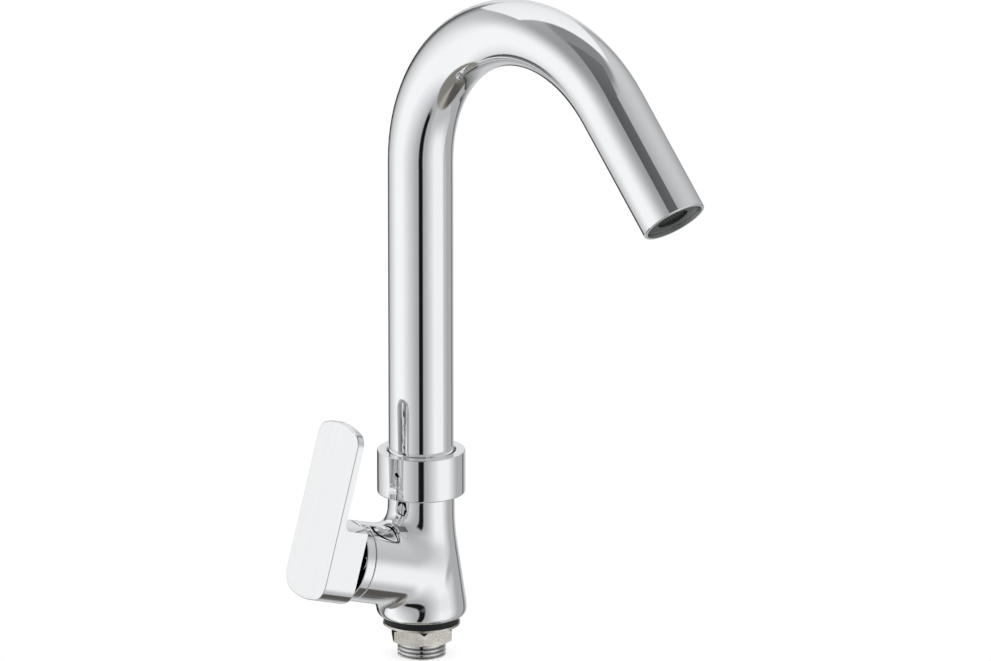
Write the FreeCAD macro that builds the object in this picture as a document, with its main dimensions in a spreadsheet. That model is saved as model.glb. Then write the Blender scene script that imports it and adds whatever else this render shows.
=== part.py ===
# Swan neck tap with one cold inlet, a swivelling spout and a lever that makes a quarter turn.
# Millimetres. The origin is on the tap's upright axis, on the deck that the gasket lies on. +Z is up,
# -X is the side of the lever and -Y is the front, where the sink is.
import FreeCAD, Part
import math
import os
import Sketcher

TEXT_PREFIX = "Sizes."
OVERCUT = 1.0
FULL_TURN = 360.0
SAME = 0.01  # two places nearer than this count as one
NEAR = 0.05  # the same, for an edge that lies between two curved faces

# Driving dimensions: name, value, meaning. Angles are in degrees, everything else in millimetres.
DRIVING = [
    ("tubeDiameter", 28.0, "spout tube, outside"),
    ("tubeWall", 1.4, "spout tube, wall"),
    ("archRadius", 67.0, "centre line radius of the arch"),
    ("archStart", 205.0, "height at which the arch starts"),
    ("archSweep", 138.5, "angle that the arch turns through"),
    ("outletLength", 56.0, "straight run after the arch"),
    ("spoutYaw", 11.3, "spout turned from the front to the right"),
    ("mouthRound", 0.5, "rounding of the mouth's outer edge"),
    ("collarDiameter", 38.0, "union collar, outside"),
    ("collarBottom", 58.0, "height of the collar's lower face"),
    ("collarHeight", 19.0, "length of the collar"),
    ("collarLip", 2.5, "thickness of the lip over the flange"),
    ("collarTubeGap", 0.5, "radial gap between lip and tube"),
    ("collarEdge", 0.9, "rounding of the collar's lower edge"),
    ("collarTopEdge", 0.35, "rounding of the collar's upper edge"),
    ("lipChamfer", 0.6, "chamfer round the tube at the collar's top"),
    ("threadGap", 0.05, "radial gap of the plain threads"),
    ("headDiameter", 32.8, "threaded head of the body inside the collar"),
    ("neckDiameter", 28.8, "neck of the body under the collar"),
    ("neckHeight", 43.0, "height at which the flare meets the neck"),
    ("footDiameter", 39.0, "widest part of the body"),
    ("footHeight", 8.0, "height at which the flare starts"),
    ("footRound", 3.4, "rounding under the foot"),
    ("flareRound", 90.0, "rounding where the flare meets the neck"),
    ("hipRound", 24.0, "rounding where the flare starts"),
    ("socketDiameter", 23.0, "bore that takes the spout's spigot"),
    ("socketDepth", 22.0, "depth of that bore"),
    ("outletWay", 13.0, "waterway up to the spout, diameter"),
    ("outletWayFloor", 30.0, "height of that waterway's floor"),
    ("inletWay", 14.0, "waterway up from the shank, diameter"),
    ("inletWayTop", 24.0, "height of that waterway's roof"),
    ("spigotGap", 0.2, "radial gap of the spigot in its bore"),
    ("spigotLength", 19.0, "spigot below its flange"),
    ("spigotFlange", 2.2, "thickness of the flange"),
    ("spigotPlug", 8.0, "length brazed inside the tube"),
    ("spigotBore", 17.0, "waterway through the spigot, diameter"),
    ("brazeGap", 0.05, "radial gap of a brazed joint"),
    ("slipRing", 0.8, "thickness of the lower slip ring"),
    ("topRing", 1.4, "thickness of the upper slip ring"),
    ("runningGap", 0.05, "gap on each side of a face that turns"),
    ("ringSection", 1.7, "thickness of the spout's O-rings"),
    ("ringSqueeze", 0.03, "gap between an O-ring and its bore"),
    ("ringPitch", 7.0, "distance between the two O-rings"),
    ("firstRing", 4.0, "first O-ring above the spigot's foot"),
    ("gasketDiameter", 32.4, "deck gasket, outside"),
    ("gasketThickness", 2.6, "deck gasket"),
    ("threadDiameter", 20.95, "G 1/2 thread, crest to crest"),
    ("shankDiameter", 20.0, "plain part of the shank"),
    ("shankBore", 13.0, "waterway through the shank, diameter"),
    ("shankBelow", 15.0, "shank below the deck face"),
    ("shankAbove", 12.0, "shank above the deck face, inside the body"),
    ("threadPitch", 1.814, "14 turns to the inch"),
    ("threadDepth", 0.95, "depth of the thread's groove"),
    ("threadCrest", 0.45, "flat on the crest"),
    ("threadRelief", 0.5, "plain shank showing under the nut"),
    ("sealSection", 1.5, "shank seal above the shank's end"),
    ("washerDiameter", 33.4, "deck washer, outside"),
    ("washerThickness", 1.0, "deck washer"),
    ("holeGap", 0.3, "radial gap of gasket and washer on the shank"),
    ("nutFlats", 25.0, "back nut across its flats"),
    ("nutHeight", 7.5, "back nut"),
    ("nutChamfer", 2.2, "height of the chamfer on the nut's corners"),
    ("nutTurn", 2.8, "how far the nut is turned on the shank"),
    ("branchHeight", 22.8, "where the branch axis crosses the tap axis"),
    ("branchTilt", 15.5, "rise of the branch axis"),
    ("branchDiameter", 34.6, "side branch, outside"),
    ("branchRoot", 33.8, "side branch at the tap axis, where it tapers"),
    ("branchTaper", 12.0, "length of that taper"),
    ("branchReach", 35.4, "branch end face from the tap axis"),
    ("branchBlend", 3.0, "fillet between branch and body"),
    ("branchEdge", 0.3, "rounding of the branch's end"),
    ("headBore", 21.0, "bore in the branch for the headwork"),
    ("headDepth", 21.4, "depth of that bore"),
    ("portDiameter", 7.2, "port in the floor of that bore"),
    ("portDepth", 17.0, "depth of that port"),
    ("sidePort", 5.2, "port from the bore to the outlet waterway, diameter"),
    ("sidePortOffset", 8.6, "that port from the branch axis"),
    ("sidePortDepth", 14.0, "depth of that port"),
    ("seatThickness", 1.4, "rubber seat under the discs"),
    ("seatBore", 7.6, "rubber seat, inside"),
    ("seatDiameter", 11.6, "rubber seat, outside"),
    ("barrelDiameter", 17.2, "barrel of the headwork"),
    ("barrelBore", 13.2, "bore of the barrel"),
    ("headThread", 8.4, "length of the headwork's thread"),
    ("headFlats", 22.0, "hexagon of the headwork across its flats"),
    ("headFlange", 2.8, "thickness of that hexagon"),
    ("discDiameter", 13.0, "fixed ceramic disc"),
    ("turnDiameter", 12.6, "turning ceramic disc"),
    ("discThickness", 2.5, "each ceramic disc"),
    ("discGap", 0.02, "gap between the two discs"),
    ("fanInner", 1.7, "inner radius of the discs' openings"),
    ("fanOuter", 4.9, "outer radius of the discs' openings"),
    ("fanHalf", 38.0, "half the angle of each opening"),
    ("windowHeight", 4.0, "free height above the discs"),
    ("windowWidth", 7.0, "windows in the barrel, across"),
    ("windowInset", 0.4, "windows inside that height"),
    ("bladeThickness", 2.4, "blade that drives the turning disc"),
    ("bladeLength", 11.0, "blade, across the disc"),
    ("bladeDepth", 0.8, "blade inside the disc's slot"),
    ("bladeGap", 0.05, "gap round the blade in its slot"),
    ("spindleFlange", 2.0, "flange of the spindle"),
    ("spindleDiameter", 9.0, "round part of the spindle"),
    ("spindleGap", 0.05, "radial gap of the spindle in the headwork"),
    ("spindleRing", 1.6, "thickness of the spindle's O-ring"),
    ("spindleRingDepth", 5.0, "that ring inside the branch's end"),
    ("stemWidth", 6.2, "square of the spindle"),
    ("stemGrip", 8.5, "length of the square inside the lever"),
    ("stemFree", 0.5, "round part of the spindle beyond the hexagon"),
    ("coverThickness", 4.25, "cover ring"),
    ("coverBore", 12.6, "bore of the cover ring"),
    ("coverEdge", 0.4, "rounding of the cover ring"),
    ("coverGap", 0.25, "seam between cover ring and branch"),
    ("hubGap", 2.4, "gap between cover ring and lever hub"),
    ("hubDepth", 12.2, "hub behind the plate"),
    ("plateThickness", 3.2, "plate of the lever"),
    ("plateWidth", 32.4, "plate and hub, across"),
    ("plateUp", 58.7, "plate above the branch axis"),
    ("plateDown", 18.7, "plate below the branch axis"),
    ("plateTopArc", 38.0, "radius of the plate's upper end"),
    ("plateFootArc", 38.0, "radius of the plate's lower end"),
    ("crownCorner", 6.0, "rounding between sides and upper end"),
    ("heelCorner", 9.0, "rounding between sides and lower end"),
    ("plateEdge", 0.6, "rounding round the plate's faces"),
    ("hubUp", 17.3, "hub above the branch axis"),
    ("hubCrown", 60.0, "radius of the hub's upper side"),
    ("hubBlend", 3.0, "fillet between hub and plate"),
    ("hubWall", 2.4, "wall round the hub's hollow"),
    ("hollowDepth", 9.5, "depth of the hub's hollow"),
    ("bossDiameter", 13.0, "boss that takes the spindle"),
    ("bossShort", 1.0, "boss short of the hub's back face"),
    ("socketGap", 0.1, "gap round the spindle in its boss"),
    ("grubDiameter", 4.0, "grub screw"),
    ("grubLength", 5.0, "grub screw"),
    ("grubKey", 2.0, "hexagon key of the grub screw"),
    ("grubInset", 4.0, "grub screw from the boss's face"),
    ("ribWidth", 7.0, "rib that holds the grub screw"),
    ("plugLength", 2.0, "plug over the grub screw"),
    ("bushLength", 11.0, "threaded bush inside the mouth"),
    ("bushWall", 1.5, "wall of that bush"),
    ("bushLip", 1.2, "lip at the bush's inner end"),
    ("mouthRecess", 1.6, "aerator behind the rim of the mouth"),
    ("flangeThickness", 1.8, "flange of the aerator shell"),
    ("shellLength", 8.3, "aerator shell behind its flange"),
    ("shellWall", 1.3, "wall of the aerator shell"),
    ("mouthOpening", 13.6, "opening in the aerator's flange"),
    ("faceThickness", 1.0, "wall of the aerator's front"),
    ("screenThickness", 1.2, "outlet screen"),
    ("screenBar", 0.6, "width of the screen's bars"),
    ("screenPitch", 1.9, "pitch of the screen's bars"),
    ("screenRim", 1.6, "plain rim of the screen"),
    ("formerLength", 5.0, "jet former"),
    ("formerPlate", 1.2, "plate of the jet former"),
    ("jetDiameter", 1.6, "holes of the jet former"),
    ("jetCircle", 10.4, "circle of those holes"),
    ("jetCount", 12, "number of those holes"),
    ("aeratorWasher", 1.5, "rubber washer behind the shell"),
]

doc = FreeCAD.newDocument("SwanNeckTap")
sheet = doc.addObject("Spreadsheet::Sheet", "Sizes")


class Size:
    """A number together with the sheet formula that gives it."""

    def __init__(self, number, text):
        self.number = float(number)
        self.text = text

    def __add__(self, other):
        other = asSize(other)
        return Size(self.number + other.number, f"({self.text} + {other.text})")

    def __sub__(self, other):
        other = asSize(other)
        return Size(self.number - other.number, f"({self.text} - {other.text})")

    def __rsub__(self, other):
        return asSize(other) - self

    def __mul__(self, other):
        other = asSize(other)
        return Size(self.number * other.number, f"({self.text} * {other.text})")

    def __truediv__(self, other):
        other = asSize(other)
        return Size(self.number / other.number, f"({self.text} / {other.text})")

    def __neg__(self):
        return Size(-self.number, f"(0 - {self.text})")

    __radd__ = __add__
    __rmul__ = __mul__


def asSize(value):
    return value if isinstance(value, Size) else Size(value, repr(float(value)))


def sine(angle):
    return Size(math.sin(math.radians(angle.number)), f"sin({angle.text} * 1deg)")


def cosine(angle):
    return Size(math.cos(math.radians(angle.number)), f"cos({angle.text} * 1deg)")


def squareRoot(size):
    return Size(math.sqrt(size.number), f"sqrt({size.text})")


class Sizes:
    """The sheet's cells by name."""


S = Sizes()
for row, (name, number, meaning) in enumerate(DRIVING, start=1):
    sheet.set(f"A{row}", meaning)
    sheet.set(f"B{row}", str(number))
    sheet.setAlias(f"B{row}", name)
    setattr(S, name, Size(number, TEXT_PREFIX + name))
doc.recompute()


# Frames that the sub-parts are placed in
def uprightFrame():
    return FreeCAD.Placement()


def spoutFrame():
    """X runs out under the spout and Z is the tap axis."""
    turn = FreeCAD.Rotation(FreeCAD.Vector(0, 0, 1), S.spoutYaw.number - 90)
    return FreeCAD.Placement(FreeCAD.Vector(), turn)


def branchFrame():
    """Z runs out along the branch axis from the tap axis, and X up along the lever's plate."""
    turn = FreeCAD.Rotation(FreeCAD.Vector(0, 1, 0), S.branchTilt.number - 90)
    return FreeCAD.Placement(FreeCAD.Vector(0, 0, S.branchHeight.number), turn)


def spoutPoints():
    """Where the arch ends and where the mouth is, in the spout's frame."""
    sweep, radius, length = S.archSweep, S.archRadius, S.outletLength
    bendX = radius - radius * cosine(sweep)
    bendZ = S.archStart + radius * sine(sweep)
    return bendX, bendZ, bendX + length * sine(sweep), bendZ + length * cosine(sweep)


def mouthFrame():
    """The origin is the middle of the spout's mouth, and Z runs out of it."""
    out, up = spoutPoints()[2:]
    turn = FreeCAD.Rotation(FreeCAD.Vector(0, 1, 0), S.archSweep.number)
    return spoutFrame().multiply(FreeCAD.Placement(FreeCAD.Vector(out.number, 0, up.number), turn))


# Building blocks
def bind(thing, prop, size):
    """Gives a property its number and ties it to the sheet."""
    size = asSize(size)
    setattr(thing, prop, size.number)
    thing.setExpression(prop, size.text)


def settle(feature):
    """Rebuilds the document and stops at a feature that fails."""
    doc.recompute()
    if "Invalid" in feature.State or feature.Shape.isNull() or not feature.Shape.isValid():
        raise RuntimeError(f"{feature.Label} fails")
    return feature


def newBody(label, frame):
    body = doc.addObject("PartDesign::Body", label)
    body.Label = label
    body.Placement = frame
    return body


def newSketch(body, name, plane, offset=None):
    """A sketch on one of the body's own origin planes, moved along its normal by the offset."""
    sketch = body.newObject("Sketcher::SketchObject", name)
    support = next(o for o in body.Origin.OriginFeatures if o.Role == plane)
    sketch.AttachmentSupport = [(support, "")]
    sketch.MapMode = "FlatFace"
    if offset is not None:
        offset = asSize(offset)
        sketch.AttachmentOffset = FreeCAD.Placement(FreeCAD.Vector(0, 0, offset.number), FreeCAD.Rotation())
        sketch.setExpression("AttachmentOffset.Base.z", offset.text)
    return sketch


def dimension(sketch, constraint, size):
    index = sketch.addConstraint(constraint)
    sketch.setExpression(f"Constraints[{index}]", asSize(size).text)
    return index


def placePoint(sketch, geometry, end, x, y):
    """Ties one end of a line or arc to the sketch's origin."""
    for size, kind, axis in ((asSize(x), "DistanceX", -2), (asSize(y), "DistanceY", -1)):
        if abs(size.number) < 1e-9:
            sketch.addConstraint(Sketcher.Constraint("PointOnObject", geometry, end, axis))
        else:
            dimension(sketch, Sketcher.Constraint(kind, -1, 1, geometry, end, size.number), size)


def polygon(sketch, points):
    """A closed outline of straight lines through the points."""
    corners = [FreeCAD.Vector(asSize(x).number, asSize(y).number, 0) for x, y in points]
    count = len(corners)
    first = sketch.GeometryCount
    for i in range(count):
        sketch.addGeometry(Part.LineSegment(corners[i], corners[(i + 1) % count]), False)
    for i in range(count):
        sketch.addConstraint(
            Sketcher.Constraint("Coincident", first + i, 2, first + (i + 1) % count, 1)
        )
    for i, (x, y) in enumerate(points):
        placePoint(sketch, first + i, 1, x, y)


def hexagon(flats, turn, x=0.0, y=0.0):
    """Corner points of a hexagon with the first corner at the turn."""
    corner = flats / 2 / squareRoot(asSize(0.75))
    angles = [asSize(turn) + FULL_TURN / 6 * k for k in range(6)]
    return [(corner * cosine(angle) + x, corner * sine(angle) + y) for angle in angles]


def circle(sketch, x, y, radius):
    radius = asSize(radius)
    middle = FreeCAD.Vector(asSize(x).number, asSize(y).number, 0)
    index = sketch.addGeometry(Part.Circle(middle, FreeCAD.Vector(0, 0, 1), radius.number), False)
    placePoint(sketch, index, 3, x, y)
    dimension(sketch, Sketcher.Constraint("Radius", index, radius.number), radius)
    return index


def revolve(body, points, cut=False, name="Turned"):
    """Turns an outline of (radius, height) points about the frame's Z axis."""
    sketch = newSketch(body, name + "Outline", "XZ_Plane")
    polygon(sketch, points)
    kind = "PartDesign::Groove" if cut else "PartDesign::Revolution"
    feature = body.newObject(kind, name)
    feature.Profile = sketch
    feature.ReferenceAxis = (sketch, ["V_Axis"])
    feature.Angle = FULL_TURN
    return settle(feature)


def pad(body, sketch, length, name="Pad"):
    feature = body.newObject("PartDesign::Pad", name)
    feature.Profile = sketch
    bind(feature, "Length", length)
    return settle(feature)


def pocket(body, sketch, length, name="Pocket", reverse=False):
    """Cuts from the sketch against its normal, or along it when reversed."""
    before = body.Shape.Volume
    feature = body.newObject("PartDesign::Pocket", name)
    feature.Profile = sketch
    feature.Reversed = reverse
    bind(feature, "Length", length)
    settle(feature)
    if body.Shape.Volume > before - 1e-6:
        raise RuntimeError(f"{body.Label}: {name} cuts nothing")
    return feature


def boreCut(body, radius, low, high, name="Bore", x=0.0, y=0.0):
    """A round hole along Z between two heights."""
    low, high = asSize(low), asSize(high)
    sketch = newSketch(body, name + "Circle", "XY_Plane", low)
    circle(sketch, x, y, radius)
    return pocket(body, sketch, high - low, name, reverse=True)


def edgesWhere(shape, test):
    return [f"Edge{i}" for i, edge in enumerate(shape.Edges, start=1) if test(edge)]


def isCircle(edge, radius, height, slack=SAME):
    """A full circle about the frame's Z axis."""
    if not isinstance(edge.Curve, Part.Circle) or not edge.isClosed():
        return False
    middle = edge.Curve.Center
    return (
        abs(edge.Curve.Radius - asSize(radius).number) < slack
        and abs(middle.z - asSize(height).number) < slack
        and math.hypot(middle.x, middle.y) < slack
    )


def dress(body, kind, edges, size, name):
    """A fillet or chamfer on the named edges of the body's last feature."""
    if not edges:
        raise RuntimeError(f"{body.Label}: {name} finds no edge")
    feature = body.newObject("PartDesign::" + kind, name)
    feature.Base = (body.Tip if body.Tip != feature else feature.BaseFeature, edges)
    bind(feature, "Radius" if kind == "Fillet" else "Size", size)
    return settle(feature)


def localShape(body):
    """The last feature's shape in the body's own frame."""
    return body.Tip.Shape


def roundCircles(body, circles, size, name="Round", kind="Fillet"):
    """Rounds the full circles given as (radius, height)."""
    found = edgesWhere(localShape(body), lambda e: any(isCircle(e, r, z) for r, z in circles))
    return dress(body, kind, found, size, name)


def ringBody(label, frame, inner, outer, low, high, edge=None):
    """A plain ring about Z."""
    body = newBody(label, frame)
    revolve(body, [(inner, low), (outer, low), (outer, high), (inner, high)])
    if edge is not None:
        roundCircles(body, [(outer, low), (outer, high)], edge)
    return body


def torusPart(label, frame, middle, section, height):
    """A round rubber ring about Z."""
    ring = doc.addObject("Part::Torus", label)
    ring.Label = label
    bind(ring, "Radius1", middle)
    bind(ring, "Radius2", asSize(section) / 2)
    ring.Placement = frame.multiply(
        FreeCAD.Placement(FreeCAD.Vector(0, 0, asSize(height).number), FreeCAD.Rotation())
    )
    return ring


# Heights and radii that several sub-parts share
tubeRadius = S.tubeDiameter / 2
tubeBore = tubeRadius - S.tubeWall
collarTop = S.collarBottom + S.collarHeight
lipFace = collarTop - S.collarLip
flangeTop = lipFace - S.runningGap * 2 - S.topRing
flangeFoot = flangeTop - S.spigotFlange
headTop = flangeFoot - S.slipRing - S.runningGap
headRadius = S.headDiameter / 2
chamberRadius = headRadius + S.threadGap
flangeRadius = headRadius - S.collarTubeGap
socketRadius = S.socketDiameter / 2
socketFloor = headTop - S.socketDepth
spigotRadius = socketRadius - S.spigotGap
spigotFoot = flangeFoot - S.spigotLength
ringMiddle = socketRadius - S.ringSqueeze - S.ringSection / 2
grooveFloor = ringMiddle - S.ringSection / 2 - S.ringSqueeze
ringHeights = [spigotFoot + S.firstRing, spigotFoot + S.firstRing + S.ringPitch]
shankRadius = S.shankDiameter / 2
bodyFoot = S.gasketThickness
shankHole = shankRadius + S.threadGap
branchRadius = S.branchDiameter / 2
boreRadius = S.headBore / 2
cavityFloor = S.branchReach - S.headDepth
barrelFoot = cavityFloor + S.seatThickness
barrelBore = S.barrelBore / 2
discTop = barrelFoot + S.discThickness
turnFoot = discTop + S.discGap
turnTop = turnFoot + S.discThickness
turnRadius = S.turnDiameter / 2
flangeLow = turnTop + S.windowHeight
flangeHigh = flangeLow + S.spindleFlange
spindleRadius = S.spindleDiameter / 2
headFace = S.branchReach + S.headFlange
stemFoot = headFace + S.stemFree
coverFoot = S.branchReach + S.coverGap
coverTop = coverFoot + S.coverThickness
hubBack = coverTop + S.hubGap
plateBack = hubBack + S.hubDepth
plateFront = plateBack + S.plateThickness
hollowRoof = hubBack + S.hollowDepth
bossFace = hubBack + S.bossShort
stemEnd = bossFace + S.stemGrip
stemHalf = S.stemWidth / 2
grubReach = bossFace + S.grubInset
bushRadius = tubeBore - S.brazeGap
bushBore = bushRadius - S.bushWall
shellRadius = bushBore - S.threadGap
shellBore = shellRadius - S.shellWall
flangeFace = -S.mouthRecess
shellShoulder = flangeFace - S.flangeThickness
shellEnd = shellShoulder - S.shellLength


# Body and inlet
def tapBody():
    body = newBody("tap_body", uprightFrame())
    foot, neck = S.footDiameter / 2, S.neckDiameter / 2
    revolve(
        body,
        [
            (0, bodyFoot),
            (foot, bodyFoot),
            (foot, S.footHeight),
            (neck, S.neckHeight),
            (neck, S.collarBottom + S.collarTopEdge),
            (headRadius, S.collarBottom + S.collarTopEdge + (headRadius - neck)),
            (headRadius, headTop),
            (0, headTop),
        ],
        name="Outside",
    )
    roundCircles(body, [(foot, bodyFoot)], S.footRound, "FootRound")
    roundCircles(body, [(foot, S.footHeight)], S.hipRound, "HipRound")
    roundCircles(body, [(neck, S.neckHeight)], S.flareRound, "FlareRound")
    root = body.newObject("PartDesign::AdditiveCone", "BranchRoot")
    bind(root, "Radius1", S.branchRoot / 2)
    bind(root, "Radius2", branchRadius)
    bind(root, "Height", S.branchTaper)
    root.Placement = branchFrame()
    settle(root)
    branch = body.newObject("PartDesign::AdditiveCylinder", "Branch")
    bind(branch, "Radius", branchRadius)
    bind(branch, "Height", S.branchReach - S.branchTaper)
    start = FreeCAD.Vector(0, 0, S.branchTaper.number)
    branch.Placement = branchFrame().multiply(FreeCAD.Placement(start, FreeCAD.Rotation()))
    settle(branch)
    branchCut(body, "HeadBore", boreRadius, cavityFloor, S.branchReach + OVERCUT)
    branchCut(body, "InletPort", S.portDiameter / 2, cavityFloor - S.portDepth, cavityFloor + OVERCUT)
    branchCut(
        body,
        "SidePort",
        S.sidePort / 2,
        cavityFloor - S.sidePortDepth,
        cavityFloor + OVERCUT,
        S.sidePortOffset,
    )
    boreCut(body, shankHole, bodyFoot - OVERCUT, S.shankAbove + S.sealSection, "ShankHole")
    boreCut(body, S.inletWay / 2, S.shankAbove, S.inletWayTop, "InletWay")
    boreCut(body, socketRadius, socketFloor, headTop + OVERCUT, "Socket")
    boreCut(body, S.outletWay / 2, S.outletWayFloor, socketFloor + OVERCUT, "OutletWay")
    endEdge = edgesWhere(localShape(body), isBranchEnd)
    dress(body, "Fillet", endEdge, S.branchEdge, "BranchEnd")
    blendBranch(body)
    return body


def blendBranch(body):
    """Fillets the seam between the branch and the flared body."""
    intoBranch = branchFrame().inverse()

    def onSeam(edge):
        if isinstance(edge.Curve, (Part.Circle, Part.Line)):
            return False
        middle = intoBranch.multVec(edge.valueAt((edge.FirstParameter + edge.LastParameter) / 2))
        share = min(middle.z / S.branchTaper.number, 1)
        radius = S.branchRoot.number / 2 * (1 - share) + branchRadius.number * share
        return middle.z > 0 and abs(math.hypot(middle.x, middle.y) - radius) < NEAR

    dress(body, "Fillet", edgesWhere(localShape(body), onSeam), S.branchBlend, "BranchBlend")


def isBranchEnd(edge):
    """The outer edge of the branch's end face."""
    if not isinstance(edge.Curve, Part.Circle):
        return False
    end = branchFrame().multVec(FreeCAD.Vector(0, 0, S.branchReach.number))
    return end.distanceToPoint(edge.Curve.Center) < SAME and edge.Curve.Radius > boreRadius.number


def branchCut(body, name, radius, low, high, above=0):
    """A round hole along the branch axis, on it or above it."""
    before = body.Shape.Volume
    cut = body.newObject("PartDesign::SubtractiveCylinder", name)
    bind(cut, "Radius", radius)
    bind(cut, "Height", asSize(high) - low)
    start = FreeCAD.Vector(asSize(above).number, 0, asSize(low).number)
    cut.Placement = branchFrame().multiply(FreeCAD.Placement(start, FreeCAD.Rotation()))
    settle(cut)
    if body.Shape.Volume > before - 1e-6:
        raise RuntimeError(f"{name} cuts nothing")


def deckGasket():
    return ringBody(
        "deck_gasket", uprightFrame(), shankRadius + S.holeGap, S.gasketDiameter / 2, 0, S.gasketThickness
    )


def deckWasher():
    return ringBody(
        "deck_washer",
        uprightFrame(),
        shankRadius + S.holeGap,
        S.washerDiameter / 2,
        -S.washerThickness,
        0,
    )


def threadedOutline(crest, low, high):
    """Outline points up the side of a ring thread, from low to high."""
    pitch = S.threadPitch
    flank = (pitch - S.threadCrest * 2) / 2
    turns = int((asSize(high).number - asSize(low).number) / pitch.number)
    points = [(crest, low)]
    for turn in range(turns):
        start = asSize(low) + pitch * turn + S.threadCrest / 2
        points += [
            (crest, start),
            (crest - S.threadDepth, start + flank),
            (crest - S.threadDepth, start + flank + S.threadCrest),
            (crest, start + pitch - S.threadCrest / 2 - S.threadCrest / 2),
        ]
    points.append((crest, high))
    return points


def inletShank():
    body = newBody("inlet_shank", uprightFrame())
    bore = S.shankBore / 2
    nutFoot = -S.washerThickness - S.nutHeight
    plain = nutFoot - S.threadRelief
    side = threadedOutline(S.threadDiameter / 2, -S.shankBelow, plain)
    rest = [(shankRadius, plain), (shankRadius, S.shankAbove), (bore, S.shankAbove)]
    revolve(body, [(bore, -S.shankBelow)] + side + rest)
    return body


def shankSeal():
    """A flat ring between the shank's end and the step in the body."""
    return ringBody(
        "shank_seal",
        uprightFrame(),
        S.inletWay / 2,
        shankRadius,
        S.shankAbove,
        S.shankAbove + S.sealSection,
    )


def backNut():
    body = newBody("back_nut", uprightFrame())
    top = -S.washerThickness
    foot = top - S.nutHeight
    sketch = newSketch(body, "Hexagon", "XY_Plane", foot)
    apothem = S.nutFlats / 2
    corner = apothem / squareRoot(asSize(0.75))
    polygon(sketch, hexagon(S.nutFlats, S.nutTurn))
    pad(body, sketch, S.nutHeight)
    rise = S.nutChamfer
    out = corner + OVERCUT
    revolve(
        body,
        [
            (apothem, top),
            (out, top),
            (out, top - rise * (out - apothem) / (corner - apothem)),
        ],
        cut=True,
        name="TopChamfer",
    )
    low = rise / 2
    revolve(
        body,
        [
            (apothem, foot),
            (out, foot),
            (out, foot + low * (out - apothem) / (corner - apothem)),
        ],
        cut=True,
        name="FootChamfer",
    )
    boreCut(body, shankHole, foot - OVERCUT, top + OVERCUT)
    return body


# Spout and its swivel
def spoutTube():
    body = newBody("spout_tube", spoutFrame())
    path = newSketch(body, "Path", "XZ_Plane")
    bendX, bendZ, tipX, tipZ = spoutPoints()
    radius = S.archRadius.number
    corners = [(0, flangeTop), (0, S.archStart), (bendX, bendZ), (tipX, tipZ)]
    foot, start, bend, tip = (
        FreeCAD.Vector(asSize(x).number, asSize(z).number, 0) for x, z in corners
    )
    middle = Part.Circle(FreeCAD.Vector(radius, start.y, 0), FreeCAD.Vector(0, 0, 1), radius)
    sweep = math.radians(S.archSweep.number)
    path.addGeometry(Part.LineSegment(foot, start), False)
    path.addGeometry(Part.ArcOfCircle(middle, math.pi - sweep, math.pi), False)
    path.addGeometry(Part.LineSegment(bend, tip), False)
    path.addConstraint(Sketcher.Constraint("Coincident", 0, 2, 1, 2))
    path.addConstraint(Sketcher.Constraint("Coincident", 1, 1, 2, 1))
    for line, end, (x, z) in ((0, 1, corners[0]), (0, 2, corners[1]), (2, 1, corners[2]), (2, 2, corners[3])):
        placePoint(path, line, end, x, z)
    dimension(path, Sketcher.Constraint("Radius", 1, radius), S.archRadius)
    section = newSketch(body, "Section", "XY_Plane", flangeTop)
    circle(section, 0, 0, tubeRadius)
    circle(section, 0, 0, tubeBore)
    pipe = body.newObject("PartDesign::AdditivePipe", "Swept")
    pipe.Profile = section
    pipe.Spine = path
    settle(pipe)
    rim = spoutFrame().inverse().multiply(mouthFrame())

    def atMouth(edge):
        if not isinstance(edge.Curve, Part.Circle):
            return False
        near = edge.Curve.Center.distanceToPoint(rim.Base) < NEAR
        return near and abs(edge.Curve.Radius - tubeRadius.number) < SAME

    dress(body, "Fillet", edgesWhere(localShape(body), atMouth), S.mouthRound, "MouthRound")
    return body


def spoutSpigot():
    body = newBody("spout_spigot", spoutFrame())
    bore = S.spigotBore / 2
    plug = tubeBore - S.brazeGap
    points = [(bore, spigotFoot), (spigotRadius, spigotFoot)]
    half = S.ringSection / 2 + S.ringSqueeze
    for height in ringHeights:
        points += [
            (spigotRadius, height - half),
            (grooveFloor, height - half),
            (grooveFloor, height + half),
            (spigotRadius, height + half),
        ]
    points += [
        (spigotRadius, flangeFoot),
        (flangeRadius, flangeFoot),
        (flangeRadius, flangeTop),
        (plug, flangeTop),
        (plug, flangeTop + S.spigotPlug),
        (bore, flangeTop + S.spigotPlug),
    ]
    revolve(body, points)
    return body


def spoutRings():
    names = ("spout_ring_lower", "spout_ring_upper")
    return [
        torusPart(name, spoutFrame(), ringMiddle, S.ringSection, height)
        for name, height in zip(names, ringHeights)
    ]


def slipRings():
    lower = ringBody(
        "slip_ring_lower",
        spoutFrame(),
        spigotRadius + S.spigotGap,
        flangeRadius,
        headTop + S.runningGap,
        flangeFoot,
    )
    upper = ringBody(
        "slip_ring_upper",
        spoutFrame(),
        tubeRadius + S.threadGap,
        flangeRadius,
        flangeTop,
        flangeTop + S.topRing,
    )
    return [lower, upper]


def unionCollar():
    body = newBody("union_collar", uprightFrame())
    outer = S.collarDiameter / 2
    lip = tubeRadius + S.collarTubeGap
    revolve(
        body,
        [
            (chamberRadius, S.collarBottom),
            (outer, S.collarBottom),
            (outer, collarTop),
            (lip, collarTop),
            (lip, lipFace),
            (chamberRadius, lipFace),
        ],
    )
    roundCircles(body, [(outer, S.collarBottom)], S.collarEdge, "FootRound")
    roundCircles(body, [(outer, collarTop)], S.collarTopEdge, "TopRound")
    roundCircles(body, [(lip, collarTop)], S.lipChamfer, "LipChamfer", "Chamfer")
    return body


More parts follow.
